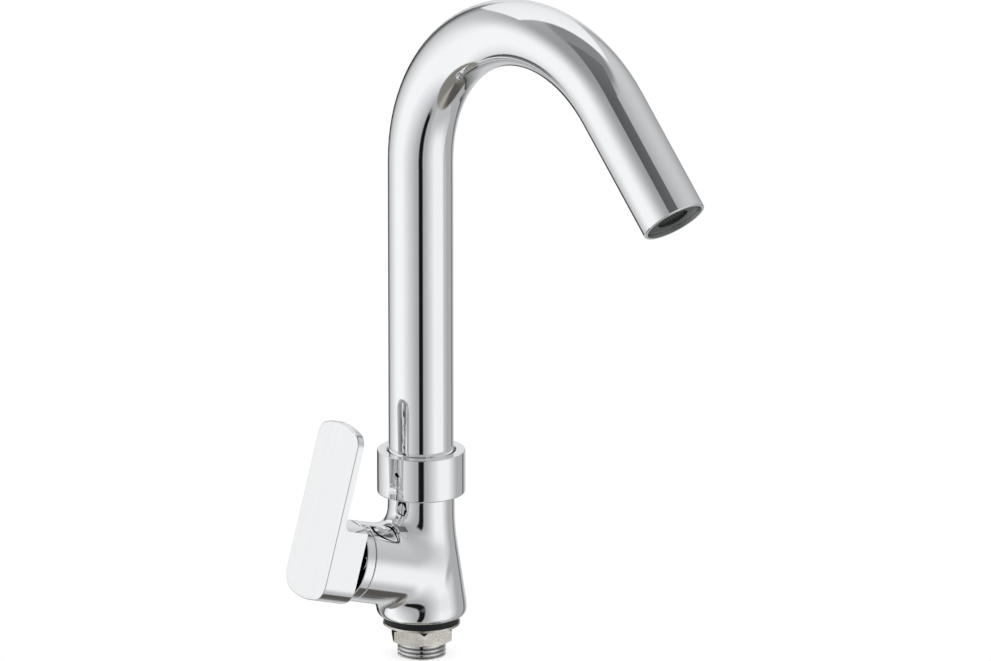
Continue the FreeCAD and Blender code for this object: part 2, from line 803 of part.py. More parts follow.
# Aerator in the spout's mouth
def outletBush():
    body = newBody("outlet_bush", mouthFrame())
    end = shellShoulder - S.bushLength
    revolve(
        body,
        [
            (bushBore - S.bushLip, end),
            (bushRadius, end),
            (bushRadius, shellShoulder),
            (bushBore, shellShoulder),
            (bushBore, end + S.bushLip),
            (bushBore - S.bushLip, end + S.bushLip),
        ],
    )
    return body


def aeratorShell():
    body = newBody("aerator_shell", mouthFrame())
    revolve(
        body,
        [
            (S.mouthOpening / 2, flangeFace),
            (bushRadius, flangeFace),
            (bushRadius, shellShoulder),
            (shellRadius, shellShoulder),
            (shellRadius, shellEnd),
            (shellBore, shellEnd),
            (shellBore, flangeFace - S.faceThickness),
            (S.mouthOpening / 2, flangeFace - S.faceThickness),
        ],
    )
    roundCircles(body, [(bushRadius, flangeFace)], S.collarTopEdge, "Edge")
    return body


def primitive(kind, label, frame=None, **sizes):
    """A Part primitive with its sizes tied to the sheet."""
    thing = doc.addObject("Part::" + kind, label)
    for prop, size in sizes.items():
        bind(thing, prop, size)
    if frame is not None:
        thing.Placement = frame
    return thing


def moved(frame, x=0, y=0, z=0):
    """The frame shifted along its own axes."""
    shift = FreeCAD.Vector(asSize(x).number, asSize(y).number, asSize(z).number)
    return frame.multiply(FreeCAD.Placement(shift, FreeCAD.Rotation()))


def boolean(kind, label, base, tool):
    result = doc.addObject("Part::" + kind, label)
    result.Base = base
    result.Tool = tool
    return settle(result)


def outletScreen():
    """A rim with two crossed rows of thin bars."""
    foot = flangeFace - S.faceThickness - S.screenThickness
    radius = shellBore - S.threadGap
    frame = moved(mouthFrame(), z=foot)
    deep = S.screenThickness
    inside = radius - S.screenRim
    bars = []
    reach = int(inside.number / S.screenPitch.number)
    for i in range(-reach, reach + 1):
        start = S.screenPitch * i - S.screenBar / 2
        across = moved(frame, x=start, y=-radius)
        along = moved(frame, x=-radius, y=start)
        long = radius * 2
        bars.append(primitive("Box", "ScreenBar", across, Length=S.screenBar, Width=long, Height=deep))
        bars.append(primitive("Box", "ScreenBar", along, Length=long, Width=S.screenBar, Height=deep))
    lattice = doc.addObject("Part::MultiFuse", "ScreenLattice")
    lattice.Shapes = bars
    disc = primitive("Cylinder", "ScreenDisc", frame, Radius=inside + S.screenBar, Height=deep)
    outer = primitive("Cylinder", "ScreenOuter", frame, Radius=radius, Height=deep)
    inner = primitive("Cylinder", "ScreenInner", frame, Radius=inside, Height=deep)
    rim = boolean("Cut", "ScreenRim", outer, inner)
    trimmed = boolean("Common", "ScreenBars", lattice, disc)
    screen = boolean("Fuse", "outlet_screen", rim, trimmed)
    screen.Label = "outlet_screen"
    return screen


def jetFormer():
    """A plate with a ring of small holes over a short skirt and a cone."""
    body = newBody("jet_former", mouthFrame())
    foot = flangeFace - S.faceThickness - S.screenThickness
    top = foot - S.formerLength
    radius = shellBore - S.threadGap
    revolve(
        body,
        [
            (radius - S.formerPlate, foot),
            (radius, foot),
            (radius, top),
            (0, top),
            (0, top + S.formerPlate * 2),
            (S.formerPlate, top + S.formerPlate),
            (radius - S.formerPlate, top + S.formerPlate),
        ],
    )
    sketch = newSketch(body, "Jets", "XY_Plane", top)
    count = int(S.jetCount.number)
    for k in range(count):
        angle = asSize(FULL_TURN / count * k)
        place = S.jetCircle / 2
        circle(sketch, place * cosine(angle), place * sine(angle), S.jetDiameter / 2)
    pocket(body, sketch, S.formerPlate * 2, "JetHoles", reverse=True)
    return body


def aeratorWasher():
    return ringBody(
        "aerator_washer", mouthFrame(), shellBore, bushBore, shellEnd - S.aeratorWasher, shellEnd
    )


# Headwork with its ceramic discs
def fan(middle):
    """Outline of one fan-shaped opening round the branch axis."""
    half = S.fanHalf
    steps = 3
    outer = [middle - half + half * 2 / steps * k for k in range(steps + 1)]
    points = [(S.fanOuter * cosine(a), S.fanOuter * sine(a)) for a in outer]
    points += [(S.fanInner * cosine(a), S.fanInner * sine(a)) for a in (middle + half, middle - half)]
    return points


def ceramicDisc(label, radius, low, high, turn):
    """A disc with two opposite openings."""
    body = newBody(label, branchFrame())
    revolve(body, [(0, low), (radius, low), (radius, high), (0, high)])
    for name, middle in (("Opening", turn), ("OtherOpening", turn + FULL_TURN / 2)):
        sketch = newSketch(body, name + "Outline", "XY_Plane", low)
        polygon(sketch, fan(asSize(middle)))
        pocket(body, sketch, high - low, name, reverse=True)
    return body


def fixedDisc():
    return ceramicDisc("fixed_disc", S.discDiameter / 2, barrelFoot, discTop, 0)


def turningDisc():
    """Shut at rest, because its openings stand a quarter turn from the fixed disc's."""
    body = ceramicDisc("turning_disc", turnRadius, turnFoot, turnTop, FULL_TURN / 4)
    slot = newSketch(body, "Slot", "XY_Plane", turnTop)
    long = S.bladeLength / 2 + S.bladeGap
    thin = S.bladeThickness / 2 + S.bladeGap
    polygon(slot, [(-long, -thin), (long, -thin), (long, thin), (-long, thin)])
    pocket(body, slot, S.bladeDepth + S.bladeGap, "BladeSlot")
    return body


def seatWasher():
    return ringBody(
        "seat_washer", branchFrame(), S.seatBore / 2, S.seatDiameter / 2, cavityFloor, barrelFoot
    )


def headwork():
    """Brass barrel with two windows, a thread and a hexagon."""
    body = newBody("headwork", branchFrame())
    barrel = S.barrelDiameter / 2
    thread = boreRadius - S.threadGap
    shaft = spindleRadius + S.spindleGap
    threadFoot = S.branchReach - S.headThread
    revolve(
        body,
        [
            (barrelBore, barrelFoot),
            (barrel, barrelFoot),
            (barrel, threadFoot),
            (thread, threadFoot),
            (thread, S.branchReach),
            (shaft, S.branchReach),
            (shaft, flangeHigh + S.discGap),
            (barrelBore, flangeHigh + S.discGap),
        ],
    )
    sketch = newSketch(body, "Hexagon", "XY_Plane", S.branchReach)
    polygon(sketch, hexagon(S.headFlats, 0))
    circle(sketch, 0, 0, shaft)
    pad(body, sketch, S.headFlange, "Hexagon")
    windows = newSketch(body, "Windows", "XZ_Plane")
    low, high, half = turnTop + S.windowInset, flangeLow - S.windowInset, S.windowWidth / 2
    polygon(windows, [(-half, low), (half, low), (half, high), (-half, high)])
    opened = body.newObject("PartDesign::Pocket", "WindowCut")
    opened.Profile = windows
    opened.Midplane = True
    bind(opened, "Length", S.barrelDiameter + OVERCUT)
    settle(opened)
    return body


def spindle():
    """A blade for the disc, a flange, a round part with its O-ring groove, and a square."""
    body = newBody("spindle", branchFrame())
    ring = S.branchReach - S.spindleRingDepth
    half = S.spindleRing / 2 + S.ringSqueeze
    floor = spindleRadius + S.spindleGap - S.ringSqueeze * 2 - S.spindleRing
    revolve(
        body,
        [
            (0, flangeLow),
            (turnRadius, flangeLow),
            (turnRadius, flangeHigh),
            (spindleRadius, flangeHigh),
            (spindleRadius, ring - half),
            (floor, ring - half),
            (floor, ring + half),
            (spindleRadius, ring + half),
            (spindleRadius, stemFoot),
            (0, stemFoot),
        ],
    )
    square = newSketch(body, "Square", "XY_Plane", stemFoot)
    polygon(
        square, [(-stemHalf, -stemHalf), (stemHalf, -stemHalf), (stemHalf, stemHalf), (-stemHalf, stemHalf)]
    )
    pad(body, square, stemEnd - stemFoot, "SquarePad")
    blade = newSketch(body, "Blade", "XY_Plane", turnTop - S.bladeDepth)
    long, thin = S.bladeLength / 2, S.bladeThickness / 2
    polygon(blade, [(-long, -thin), (long, -thin), (long, thin), (-long, thin)])
    pad(body, blade, flangeLow - turnTop + S.bladeDepth, "BladePad")
    return body


def spindleRing():
    middle = spindleRadius + S.spindleGap - S.ringSqueeze - S.spindleRing / 2
    return torusPart(
        "spindle_ring", branchFrame(), middle, S.spindleRing, S.branchReach - S.spindleRingDepth
    )


def coverRing():
    body = newBody("cover_ring", branchFrame())
    bore = S.coverBore / 2
    recess = S.headFlats / 2 / squareRoot(asSize(0.75)) + S.brazeGap
    revolve(
        body,
        [
            (recess, coverFoot),
            (branchRadius, coverFoot),
            (branchRadius, coverTop),
            (bore, coverTop),
            (bore, headFace),
            (recess, headFace),
        ],
    )
    roundCircles(body, [(branchRadius, coverTop), (bore, coverTop)], S.coverEdge, "FrontRound")
    roundCircles(body, [(branchRadius, coverFoot)], S.branchEdge, "SeamRound")
    return body


# Lever
def paddleOutline(sketch, up, down, half, topArc, footArc):
    """Two straight sides joined by a shallow arc at each end."""
    right = up - topArc + squareRoot(topArc * topArc - half * half)
    left = footArc - squareRoot(footArc * footArc - half * half) - down
    corners = [(left, -half), (right, -half), (right, half), (left, half)]
    a, b, c, d = (FreeCAD.Vector(x.number, y.number, 0) for x, y in corners)
    sketch.addGeometry(Part.LineSegment(a, b), False)
    sketch.addGeometry(Part.Arc(b, FreeCAD.Vector(up.number, 0, 0), c), False)
    sketch.addGeometry(Part.LineSegment(c, d), False)
    sketch.addGeometry(Part.Arc(d, FreeCAD.Vector(-down.number, 0, 0), a), False)
    for line, end, (x, y) in ((0, 1, corners[0]), (0, 2, corners[1]), (2, 1, corners[2]), (2, 2, corners[3])):
        placePoint(sketch, line, end, x, y)
    joints = ((0, 2, 1, 1), (1, 2, 2, 1), (2, 2, 3, 1), (3, 2, 0, 1))
    for joint in joints:
        sketch.addConstraint(Sketcher.Constraint("Coincident", *joint))
    dimension(sketch, Sketcher.Constraint("Radius", 1, topArc.number), topArc)
    dimension(sketch, Sketcher.Constraint("Radius", 3, footArc.number), footArc)


def crownOutline(sketch, up, half, top, radius):
    """The area above a shallow crown, up to the top."""
    side = up - radius + squareRoot(radius * radius - half * half)
    corners = [(side, -half), (top, -half), (top, half), (side, half)]
    a, b, c, d = (FreeCAD.Vector(x.number, y.number, 0) for x, y in corners)
    for start, end in ((a, b), (b, c), (c, d)):
        sketch.addGeometry(Part.LineSegment(start, end), False)
    sketch.addGeometry(Part.Arc(d, FreeCAD.Vector(up.number, 0, 0), a), False)
    for line, (x, y) in enumerate(corners[:3]):
        placePoint(sketch, line, 1, x, y)
    placePoint(sketch, 2, 2, *corners[3])
    for joint in ((0, 2, 1, 1), (1, 2, 2, 1), (2, 2, 3, 2), (3, 1, 0, 1)):
        sketch.addConstraint(Sketcher.Constraint("Coincident", *joint))
    dimension(sketch, Sketcher.Constraint("Radius", 3, radius.number), radius)


def cornerEdges(body, half, upper):
    """The blank's edges where a side meets its upper or lower end."""

    def test(edge):
        if not isinstance(edge.Curve, Part.Line):
            return False
        a, b = edge.Vertexes[0].Point, edge.Vertexes[-1].Point
        upright = abs(a.x - b.x) < SAME and abs(a.y - b.y) < SAME
        return upright and abs(abs(a.y) - half) < SAME and (a.x > 0) == upper

    return edgesWhere(localShape(body), test)


def leverHandle():
    body = newBody("lever_handle", branchFrame())
    half = S.plateWidth / 2
    plate = newSketch(body, "Plate", "XY_Plane", hubBack)
    paddleOutline(plate, S.plateUp, S.plateDown, half, S.plateTopArc, S.plateFootArc)
    pad(body, plate, S.hubDepth + S.plateThickness, "Blank")
    dress(body, "Fillet", cornerEdges(body, half.number, True), S.crownCorner, "CrownCorners")
    dress(body, "Fillet", cornerEdges(body, half.number, False), S.heelCorner, "HeelCorners")
    waste = newSketch(body, "Waste", "XY_Plane", hubBack)
    crownOutline(waste, S.hubUp, half + OVERCUT, S.plateUp + OVERCUT, S.hubCrown)
    pocket(body, waste, S.hubDepth, "AboveHub", reverse=True)
    radius, back = S.hubCrown.number, plateBack.number

    def hubRoot(edge):
        arc = isinstance(edge.Curve, Part.Circle) and abs(edge.Curve.Radius - radius) < SAME
        return arc and abs(edge.Curve.Center.z - back) < SAME

    dress(body, "Fillet", edgesWhere(localShape(body), hubRoot), S.hubBlend, "HubBlend")

    def frontRim(edge):
        box = edge.BoundBox
        return abs(box.ZMin - plateFront.number) < SAME and abs(box.ZMax - plateFront.number) < SAME

    dress(body, "Fillet", edgesWhere(localShape(body), frontRim), S.plateEdge, "FrontRound")
    hollow = newSketch(body, "Hollow", "XY_Plane", hubBack)
    wall = S.hubWall
    circle(hollow, 0, 0, half - wall)
    pocket(body, hollow, S.hollowDepth, "Hollow", reverse=True)
    boss = newSketch(body, "Boss", "XY_Plane", bossFace)
    circle(boss, 0, 0, S.bossDiameter / 2)
    pad(body, boss, hollowRoof - bossFace + OVERCUT, "BossPad")
    rib = newSketch(body, "Rib", "XY_Plane", bossFace)
    side = S.ribWidth / 2
    far = wall / 2 - half
    polygon(rib, [(far, -side), (0, -side), (0, side), (far, side)])
    pad(body, rib, hollowRoof - bossFace + OVERCUT, "RibPad")
    socket = newSketch(body, "Socket", "XY_Plane", bossFace)
    wide = stemHalf + S.socketGap
    polygon(socket, [(-wide, -wide), (wide, -wide), (wide, wide), (-wide, wide)])
    pocket(body, socket, S.stemGrip + S.socketGap, "Socket", reverse=True)
    grub = newSketch(body, "GrubCircle", "YZ_Plane")
    circle(grub, 0, grubReach, S.grubDiameter / 2 + S.threadGap)
    hole = body.newObject("PartDesign::Pocket", "GrubHole")
    hole.Profile = grub
    bind(hole, "Length", S.plateDown + OVERCUT)
    settle(hole)
    return body


def grubScrew():
    """A headless screw with a hexagon key, hard against the spindle."""
    body = newBody("grub_screw", branchFrame())
    sketch = newSketch(body, "Circle", "YZ_Plane", -stemHalf - S.grubLength)
    circle(sketch, 0, grubReach, S.grubDiameter / 2)
    pad(body, sketch, S.grubLength)
    key = newSketch(body, "Key", "YZ_Plane", -stemHalf - S.grubLength)
    polygon(key, hexagon(S.grubKey, 0, y=grubReach))
    pocket(body, key, S.grubLength / 2, "Key", reverse=True)
    return body


def grubPlug():
    """A plastic plug that closes the screw's hole in the foot of the hub."""
    body = newBody("grub_plug", branchFrame())
    sketch = newSketch(body, "Circle", "YZ_Plane", -S.plateDown + S.threadGap * 2)
    circle(sketch, 0, grubReach, S.grubDiameter / 2)
    pad(body, sketch, S.plugLength)
    return body


def isSound(thing):
    shape = thing.Shape
    states = [s for s in thing.State if s in ("Invalid", "Error")]
    return not states and not shape.isNull() and shape.isValid() and len(shape.Solids) > 0


def main():
    made = [
        tapBody(),
        deckGasket(),
        deckWasher(),
        inletShank(),
        shankSeal(),
        backNut(),
        spoutTube(),
        spoutSpigot(),
        *spoutRings(),
        *slipRings(),
        unionCollar(),
        outletBush(),
        aeratorShell(),
        outletScreen(),
        jetFormer(),
        aeratorWasher(),
        seatWasher(),
        fixedDisc(),
        turningDisc(),
        headwork(),
        spindle(),
        spindleRing(),
        coverRing(),
        leverHandle(),
        grubScrew(),
        grubPlug(),
    ]
    doc.recompute()
    for thing in doc.Objects:
        if any(s in ("Invalid", "Error") for s in thing.State):
            raise RuntimeError(f"{thing.Label} failed: {thing.State}")
    for thing in made:
        if not isSound(thing):
            raise RuntimeError(f"{thing.Label} is not a sound solid")
    os.makedirs("parts", exist_ok=True)
    for thing in made:
        thing.Shape.exportStep(f"parts/{thing.Label}.step")
        box = thing.Shape.BoundBox
        print(f"{thing.Label}: {len(thing.Shape.Solids)} solid, {thing.Shape.Volume:.1f} mm3, "
              f"z {box.ZMin:.2f} to {box.ZMax:.2f}")


main()
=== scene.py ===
import bpy
import math
import bmesh
import numpy
from mathutils import Matrix, Vector


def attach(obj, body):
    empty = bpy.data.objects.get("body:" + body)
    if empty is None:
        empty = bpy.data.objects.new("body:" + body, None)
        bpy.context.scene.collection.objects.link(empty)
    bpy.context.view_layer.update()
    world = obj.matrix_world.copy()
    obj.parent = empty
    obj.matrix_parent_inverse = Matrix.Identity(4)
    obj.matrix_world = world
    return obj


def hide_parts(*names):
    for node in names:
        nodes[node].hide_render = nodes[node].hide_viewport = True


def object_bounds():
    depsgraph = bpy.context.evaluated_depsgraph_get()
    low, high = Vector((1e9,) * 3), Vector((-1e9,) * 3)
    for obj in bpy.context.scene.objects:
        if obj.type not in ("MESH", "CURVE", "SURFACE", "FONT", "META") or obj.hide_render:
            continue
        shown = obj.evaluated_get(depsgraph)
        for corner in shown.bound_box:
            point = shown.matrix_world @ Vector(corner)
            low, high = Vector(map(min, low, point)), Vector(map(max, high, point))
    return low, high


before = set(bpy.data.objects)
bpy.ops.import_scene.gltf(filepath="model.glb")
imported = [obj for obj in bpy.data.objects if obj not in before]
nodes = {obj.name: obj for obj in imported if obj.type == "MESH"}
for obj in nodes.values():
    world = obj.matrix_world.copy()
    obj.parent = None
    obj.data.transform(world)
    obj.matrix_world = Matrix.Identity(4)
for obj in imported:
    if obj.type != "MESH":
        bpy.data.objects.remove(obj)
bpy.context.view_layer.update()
print("frame loaded:", len(nodes), "nodes")

millimetre = 0.001

camera = {
    "azimuth": -32.2,  # degrees round the tap's axis, 0 looks from the front
    "pitch": 15.5,  # degrees down
    "distance": 4.0,
    "lens": 336.2,
    "sensor": 36,
    "aside": 0.03194,  # centre of the picture from the tap's foot, sideways and up
    "above": 0.1251,
    "clip": (0.1, 20),
}


def lookAxes(azimuth, pitch):
    a, e = math.radians(azimuth), math.radians(pitch)
    back = Vector((math.sin(a) * math.cos(e), -math.cos(a) * math.cos(e), math.sin(e)))
    right = Vector((math.cos(a), math.sin(a), 0))
    return right, back.cross(right), back


def addCamera():
    right, up, back = lookAxes(camera["azimuth"], camera["pitch"])
    data = bpy.data.cameras.new("photoCamera")
    data.lens = camera["lens"]
    data.sensor_width = camera["sensor"]
    data.clip_start, data.clip_end = camera["clip"]
    cam = bpy.data.objects.new("photoCamera", data)
    turn = Matrix((right, up, back)).transposed().to_4x4()
    place = right * camera["aside"] + up * camera["above"] + back * camera["distance"]
    cam.matrix_world = Matrix.Translation(place) @ turn
    bpy.context.scene.collection.objects.link(cam)
    bpy.context.scene.camera = cam


# Small helpers for shader nodes

def addNode(tree, kind, **settings):
    node = tree.nodes.new(kind)
    for name, value in settings.items():
        setattr(node, name, value)
    return node


def wire(tree, source, target):
    tree.links.new(source, target)


def mathNode(tree, operation, a, b=None, c=None, clamp=False):
    node = addNode(tree, "ShaderNodeMath", operation=operation, use_clamp=clamp)
    for socket, value in zip(node.inputs, (a, b, c)):
        if value is None:
            continue
        if isinstance(value, (int, float)):
            socket.default_value = value
        else:
            wire(tree, value, socket)
    return node.outputs[0]


def mapRange(tree, value, low, high, toLow=0.0, toHigh=1.0, smooth=False):
    node = addNode(tree, "ShaderNodeMapRange")
    if smooth:
        node.interpolation_type = "SMOOTHSTEP"
    wire(tree, value, node.inputs["Value"])
    for name, number in (("From Min", low), ("From Max", high), ("To Min", toLow), ("To Max", toHigh)):
        node.inputs[name].default_value = number
    return node.outputs["Result"]


def dot(tree, vector, direction):
    node = addNode(tree, "ShaderNodeVectorMath", operation="DOT_PRODUCT")
    wire(tree, vector, node.inputs[0])
    node.inputs[1].default_value = direction
    return node.outputs["Value"]


def mixColour(tree, factor, a, b):
    node = addNode(tree, "ShaderNodeMix", data_type="RGBA")
    sockets = [s for s in node.inputs if s.type == "RGBA"]
    for socket, value in ((node.inputs[0], factor), (sockets[0], a), (sockets[1], b)):
        if isinstance(value, (int, float)):
            socket.default_value = value
        elif isinstance(value, tuple):
            socket.default_value = (*value, 1)
        else:
            wire(tree, value, socket)
    return next(s for s in node.outputs if s.type == "RGBA")


def linear(shade):
    # from the grey that the eye sees, 0 to 1, to the light that gives it
    return ((shade + 0.055) / 1.055) ** 2.4


def tinted(shade, tint):
    return tuple(linear(shade) * t for t in tint)


# Studio

# Turns are in degrees to the right of the camera as the tap sees them, tilts in degrees above level.
# Shades are what polished metal shows, from 0 to 1. A pair of turns or tilts is where a change begins
# and where it is complete.
studio = {
    "background": (1.0, 1.0, 1.0),
    "diffuse": 0.8,  # what matt surfaces get from all round
    "tint": (0.985, 1.0, 1.01),
    "warm": (1.06, 1.0, 0.9),  # tint of what lies under the tap
    "room": 0.68,  # all round at the tap's height
    "under": 0.5,
    "ceiling": (0.6, 0.8),  # its darkest side and its lightest
    "ceilingLight": 130,  # turn of its lightest side
    "ceilingTilt": (4, 46),
    "underTilt": (-62, -66),
    "crownTilt": (59, 68),  # straight above the tap
    "crownShade": 0.53,
}

# Soft panels round the tap, and under it. Each comes over one pair of turns and goes over the other,
# or goes on to straight behind the tap.
levelPanels = [
    {"comes": (-150, -95), "goes": (-15, -70), "shade": 0.98},
    {"comes": (15, 50), "goes": (105, 75), "shade": 0.96},
    {"comes": (-140, -160), "shade": 0.08},
    {"comes": (150, 180), "shade": 0.08},
]
underPanels = [
    {"comes": (0, 30), "goes": (60, 35), "shade": 0.66},
    {"comes": (45, 75), "goes": (180, 130), "shade": 0.33},
]


def direction(turn, tilt):
    # a direction seen from the tap
    right, up, back = lookAxes(camera["azimuth"], 0)
    t, e = math.radians(turn), math.radians(tilt)
    flat = back * math.cos(t) + right * math.sin(t)
    return flat * math.cos(e) + Vector((0, 0, 1)) * math.sin(e)


def plane(tree, ray, sign):
    # where the ray meets a ceiling or a floor one unit away: to the right, and towards the camera
    right, up, back = lookAxes(camera["azimuth"], 0)
    depth = mathNode(tree, "MAXIMUM", dot(tree, ray, (0, 0, sign)), 0.02)  # never level
    return (mathNode(tree, "DIVIDE", dot(tree, ray, right), depth),
            mathNode(tree, "DIVIDE", dot(tree, ray, back), depth))


def between(tree, value, edges, soft):
    low, high = edges
    inside = mapRange(tree, value, low, low + soft)
    return mathNode(tree, "MULTIPLY", inside, mapRange(tree, value, high, high - soft))


def shadeRound(tree, turn, plain, panels, tint):
    # a plain shade all round, with soft panels in it
    shade = tinted(plain, tint)
    for panel in panels:
        inside = mapRange(tree, turn, *panel["comes"])
        if "goes" in panel:
            inside = mathNode(tree, "MULTIPLY", inside, mapRange(tree, turn, *panel["goes"]))
        shade = mixColour(tree, inside, shade, tinted(panel["shade"], tint))
    return shade


def ceilingShade(tree, around):
    # from its darkest side to its lightest
    away = mathNode(tree, "SUBTRACT", around, math.radians(studio["ceilingLight"]))
    share = mapRange(tree, mathNode(tree, "COSINE", away), -1.0, 1.0)
    dark, light = (tinted(s, studio["tint"]) for s in studio["ceiling"])
    return mixColour(tree, share, dark, light)


# The panel on the right only reaches a little above and below the tap
rightPanel = {"turns": (15, 105), "soft": 15, "top": (-12, 18), "foot": (-32, -58), "shade": 0.74}


def endRightPanel(tree, turn, tilt, level):
    onRight = between(tree, turn, rightPanel["turns"], rightPanel["soft"])
    off = mathNode(tree, "MAXIMUM", mapRange(tree, tilt, *rightPanel["top"], smooth=True),
                   mapRange(tree, tilt, *rightPanel["foot"], smooth=True))
    shade = tinted(rightPanel["shade"], studio["tint"])
    return mixColour(tree, mathNode(tree, "MULTIPLY", onRight, off), level, shade)


# Panels on the ceiling, in heights of the ceiling from straight above: their edges to the right and
# towards the camera, and their shades at the far and the near edge
darkPanel = {"across": (-0.42, 0.27), "toward": (0.1, 1.3), "shades": (0.44, 0.32), "soft": 0.02,
             "tilt": (8, 20)}
whitePanel = {"across": (-1.1, 0.6), "toward": (-2.4, -0.28), "shades": (0.9, 0.97), "soft": 0.06,
              "tilt": (8, 20)}


def addPanel(tree, ray, tilt, shade, panel):
    across, toward = plane(tree, ray, 1)
    inside = mathNode(tree, "MULTIPLY", between(tree, across, panel["across"], panel["soft"]),
                      between(tree, toward, panel["toward"], panel["soft"]))
    inside = mathNode(tree, "MULTIPLY", inside, mapRange(tree, tilt, *panel["tilt"]))
    far, near = (tinted(s, studio["tint"]) for s in panel["shades"])
    colour = mixColour(tree, mapRange(tree, toward, *panel["toward"]), far, near)
    return mixColour(tree, inside, shade, colour)


# The floor behind the tap, in depths of the floor
behind = {
    "start": 0.22,
    "spreadRight": 1.0,  # how much farther back it starts to the right and left
    "spreadLeft": 0.42,
    "sides": (0.1, -0.1),  # from the right side to the left
    "least": 0.8,  # what its depth is measured by, straight behind
    "edge": 0.04,
    "depth": (0.05, 0.7),
    "shades": (0.47, 0.80),  # near and far
    "tilt": (-5, -9),
    "leftTilt": (-27, -33),  # on the left it shows only well below level
    "line": (0.055, 0.02),
    "lineShade": 0.30,
}


def addBehind(tree, ray, tilt, shade):
    # it starts with a thin dark line
    across, toward = plane(tree, ray, -1)
    toRight = mathNode(tree, "MULTIPLY", mathNode(tree, "MAXIMUM", across, 0), behind["spreadRight"])
    toLeft = mathNode(tree, "MULTIPLY", mathNode(tree, "MINIMUM", across, 0), -behind["spreadLeft"])
    start = mathNode(tree, "ADD", mathNode(tree, "ADD", toRight, toLeft), behind["start"])
    past = mathNode(tree, "SUBTRACT", mathNode(tree, "MULTIPLY", toward, -1), start)
    size = mathNode(tree, "ADD", mathNode(tree, "ABSOLUTE", across), behind["least"])
    share = mathNode(tree, "DIVIDE", past, size)
    onLeft = mapRange(tree, across, *behind["sides"])
    low = mixColour(tree, onLeft, (1.0, 1.0, 1.0), mapRange(tree, tilt, *behind["leftTilt"]))
    low = mathNode(tree, "MULTIPLY", low, mapRange(tree, tilt, *behind["tilt"]))
    inside = mathNode(tree, "MULTIPLY", mapRange(tree, share, 0.0, behind["edge"]), low)
    near, far = (tinted(s, studio["tint"]) for s in behind["shades"])
    colour = mixColour(tree, mapRange(tree, share, *behind["depth"]), near, far)
    shade = mixColour(tree, inside, shade, colour)
    line = mapRange(tree, mathNode(tree, "ABSOLUTE", share), *behind["line"])
    line = mathNode(tree, "MULTIPLY", line, low)
    return mixColour(tree, line, shade, tinted(behind["lineShade"], studio["tint"]))


# A pale wall straight behind the tap
wall = {"turn": (158, 172), "foot": (-6, -4), "top": (48, 30), "shade": 0.88}


def addWall(tree, turn, tilt, shade):
    around = mapRange(tree, mathNode(tree, "ABSOLUTE", turn), *wall["turn"], smooth=True)
    above = mapRange(tree, tilt, *wall["foot"])
    below = mapRange(tree, tilt, *wall["top"])
    inside = mathNode(tree, "MULTIPLY", around, mathNode(tree, "MULTIPLY", above, below))
    return mixColour(tree, inside, shade, tinted(wall["shade"], studio["tint"]))


# The dark slot between the panels, where the camera looks through
slot = {
    "turn": 0.5,
    "half": 7.5,  # half its width
    "soft": 2,
    "lean": 0.2,  # how far it goes to the left as it goes down
    "top": (4, -4),
    "foot": (-58, -50),
    "shade": 0.09,
}


def addSlot(tree, turn, tilt, shade):
    above = mathNode(tree, "ADD", tilt, camera["pitch"])
    middle = mathNode(tree, "MULTIPLY_ADD", above, slot["lean"], slot["turn"])
    off = mathNode(tree, "ABSOLUTE", mathNode(tree, "SUBTRACT", turn, middle))
    inside = mapRange(tree, off, slot["half"] + slot["soft"], slot["half"] - slot["soft"])
    for tilts in (slot["top"], slot["foot"]):
        inside = mathNode(tree, "MULTIPLY", inside, mapRange(tree, tilt, *tilts))
    return mixColour(tree, inside, shade, (linear(slot["shade"]),) * 3)


def studioPanels(tree, ray):
    # what polished metal reflects
    right, up, back = lookAxes(camera["azimuth"], 0)
    degrees = 180 / math.pi
    around = mathNode(tree, "ARCTAN2", dot(tree, ray, right), dot(tree, ray, back))
    turn = mathNode(tree, "MULTIPLY", around, degrees)
    tilt = mathNode(tree, "MULTIPLY", mathNode(tree, "ARCSINE", dot(tree, ray, (0, 0, 1))), degrees)
    level = shadeRound(tree, turn, studio["room"], levelPanels, studio["tint"])
    under = shadeRound(tree, turn, studio["under"], underPanels, studio["warm"])
    ceiling = ceilingShade(tree, around)
    level = endRightPanel(tree, turn, tilt, level)
    shade = mixColour(tree, mapRange(tree, tilt, *studio["ceilingTilt"], smooth=True), level, ceiling)
    crown = mapRange(tree, tilt, *studio["crownTilt"], smooth=True)
    shade = mixColour(tree, crown, shade, tinted(studio["crownShade"], studio["tint"]))
    shade = addWall(tree, turn, tilt, shade)
    shade = addPanel(tree, ray, tilt, shade, whitePanel)
    shade = addPanel(tree, ray, tilt, shade, darkPanel)
    shade = mixColour(tree, mapRange(tree, tilt, *studio["underTilt"], smooth=True), shade, under)
    shade = addBehind(tree, ray, tilt, shade)
    return addSlot(tree, turn, tilt, shade)


def addWorld():
    world = bpy.data.worlds.new("softStudio")
    bpy.context.scene.world = world
    world.use_nodes = True
    tree = world.node_tree
    tree.nodes.clear()
    ray = addNode(tree, "ShaderNodeTexCoord").outputs["Generated"]
    reflected = studioPanels(tree, ray)
    path = addNode(tree, "ShaderNodeLightPath")
    seen = mixColour(tree, path.outputs["Is Glossy Ray"], (studio["diffuse"],) * 3, reflected)
    seen = mixColour(tree, path.outputs["Is Transmission Ray"], seen, reflected)
    seen = mixColour(tree, path.outputs["Is Camera Ray"], seen, studio["background"])
    shader = addNode(tree, "ShaderNodeBackground")
    wire(tree, seen, shader.inputs["Color"])
    shader.inputs["Strength"].default_value = 1
    wire(tree, shader.outputs[0], addNode(tree, "ShaderNodeOutputWorld").inputs["Surface"])


paper = {
    "radius": 0.02,
    "corners": 96,
    "fade": (0.004, 0.0196),  # radii over which the paper fades into the background
    "albedo": 0.8,
    "lift": 0.4,  # makes the lit paper as white as the background
    "below": 0.0002,
}


